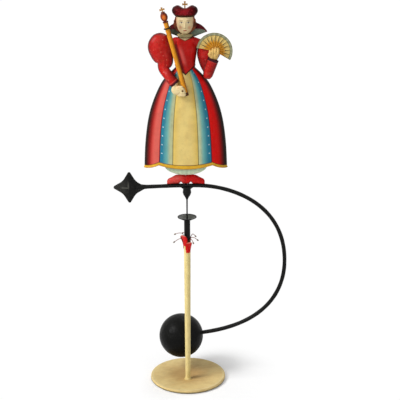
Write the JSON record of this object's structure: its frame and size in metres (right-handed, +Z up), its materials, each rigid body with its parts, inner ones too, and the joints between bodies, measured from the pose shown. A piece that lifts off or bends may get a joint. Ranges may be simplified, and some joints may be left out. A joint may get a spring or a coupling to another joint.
{
  "type": "counterweight balancing toy",
  "caption": "Painted tin queen on an iron bar that balances on a needle point in a cup on a post, with a curved arm sweeping down behind the post to a counterweight ball.",
  "frame": {"origin": "middle of the underside of the round base", "axes": "+Z up along the post, -Y towards the viewer and the figure's front, +X towards the side where the arm sweeps out"},
  "size_m": [0.2311, 0.103, 0.5196],
  "materials": {
    "felt": "dark felt",
    "base_cream": "satin tan paint",
    "post_cream": "satin cream paint",
    "plain_steel": "bare steel",
    "needle_black": "blackened steel",
    "flower_red": "red gloss paint",
    "stamen_wire": "brown red paint",
    "iron_black": "matte black paint",
    "tin_red": "printed red tin",
    "tin_mint": "printed pale green tin",
    "tin_skirt": "printed striped tin",
    "tin_skin": "printed skin tone tin",
    "tin_fan": "printed cream tin",
    "tin_gold": "gold paint",
    "sceptre_orange": "orange paint",
    "tin_ruff": "printed lace pattern",
    "tin_maroon": "printed maroon tin",
    "tin_hair": "printed brown tin"
  },
  "bodies": {
    "stand": {"base_pad": "felt", "base_plate": "base_cream", "base_screw": "plain_steel", "foot_collar": "post_cream", "post": "post_cream", "flower_petals": "flower_red", "stamens": "stamen_wire", "cup_stem": "iron_black", "pivot_cup": "iron_black"},
    "bearing": {"bearing_disc": "plain_steel"},
    "point": {"needle_point": "plain_steel"},
    "balance": {"needle": "needle_black", "needle_boss": "iron_black", "balance_arm": "iron_black", "star_finial": "iron_black", "counterweight_ball": "iron_black", "foot_pins": "plain_steel", "right_shoe": "tin_red", "left_shoe": "tin_red", "petticoat": "tin_mint", "skirt_front": "tin_skirt", "skirt_back": "tin_skirt", "bodice_front": "tin_red", "bodice_back": "tin_red", "right_sleeve_front": "tin_red", "right_sleeve_back": "tin_red", "right_hand": "tin_skin", "left_sleeve_front": "tin_red", "left_sleeve_back": "tin_red", "left_forearm_front": "tin_red", "left_forearm_back": "tin_red", "left_hand": "tin_skin", "fan": "tin_fan", "sceptre_shaft": "tin_gold", "sceptre_ring": "iron_black", "sceptre_bulb": "sceptre_orange", "sceptre_cross": "tin_gold", "neck": "tin_skin", "ruff": "tin_ruff", "collar": "tin_maroon", "face": "tin_skin", "hair": "tin_hair", "crown_front": "tin_maroon", "crown_back": "tin_maroon", "crown_cross": "tin_gold"}
  },
  "joints": [
    {"name": "spin", "type": "hinge", "parent": "stand", "child": "bearing", "pos_m": [0, -0.015, 0.2372], "axis": [0, 0, 1], "continuous": true},
    {"name": "rock", "type": "hinge", "parent": "bearing", "child": "point", "pos_m": [0, -0.015, 0.2372], "axis": [0, 1, 0], "range_deg": [-20, 20]},
    {"name": "sway", "type": "hinge", "parent": "point", "child": "balance", "pos_m": [0, -0.015, 0.2372], "axis": [1, 0, 0], "range_deg": [0, 15]}
  ]
}
